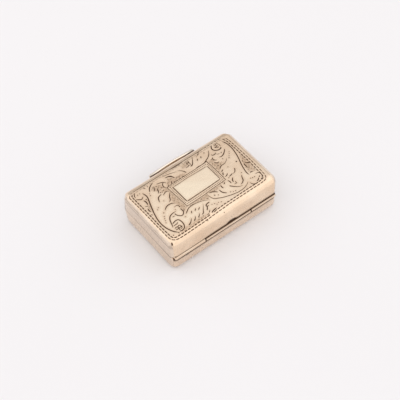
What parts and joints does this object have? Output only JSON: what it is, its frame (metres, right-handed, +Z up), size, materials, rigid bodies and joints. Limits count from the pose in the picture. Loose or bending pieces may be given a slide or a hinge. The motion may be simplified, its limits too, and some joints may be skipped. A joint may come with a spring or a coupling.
{
  "type": "vinaigrette",
  "caption": "Small hinged silver-gilt box with cushioned edges, an engraved lid, a lipped thumbpiece and a pierced, hinged inner grille that holds a scented sponge in the base.",
  "frame": {"origin": "centre of the flat underside, on the table", "axes": "+X along the hinge, +Y from the thumbpiece to the hinge, +Z up"},
  "size_m": [0.034, 0.0251, 0.0113],
  "materials": {
    "silver_gilt": "polished, softly worn",
    "bright_gilt": "bright gilding",
    "sponge": "soft, porous"
  },
  "bodies": {
    "base": {"base_pan": "silver_gilt", "base_end_left": "silver_gilt", "base_end_right": "silver_gilt", "base_bezel": "bright_gilt", "grille_seat": "silver_gilt", "base_hinge_bearer": "silver_gilt", "base_knuckle": "silver_gilt", "hinge_pin": "silver_gilt", "grille_knuckle_left": "silver_gilt", "grille_knuckle_right": "silver_gilt", "grille_pin": "silver_gilt", "sponge": "sponge"},
    "lid": {"lid_cover": "silver_gilt", "lid_end_left": "silver_gilt", "lid_end_right": "silver_gilt", "thumbpiece": "silver_gilt", "lid_hinge_bearer": "silver_gilt", "lid_knuckle_left": "silver_gilt", "lid_knuckle_right": "silver_gilt", "pin_plug_left": "silver_gilt", "pin_plug_right": "silver_gilt"},
    "grille": {"grille_plate": "bright_gilt", "grille_knuckle_middle": "bright_gilt"}
  },
  "joints": [
    {"name": "lid_hinge", "type": "hinge", "parent": "base", "child": "lid", "pos_m": [0, 0.0104, 0.005], "axis": [-1, 0, 0], "range_deg": [0, 100]},
    {"name": "grille_hinge", "type": "hinge", "parent": "base", "child": "grille", "pos_m": [0, 0.00825, 0.00477], "axis": [-1, 0, 0], "range_deg": [0, 90]}
  ],
  "couplings": [
    {"joint": "grille_hinge", "follows": "lid_hinge", "ratio": 0.9}
  ]
}
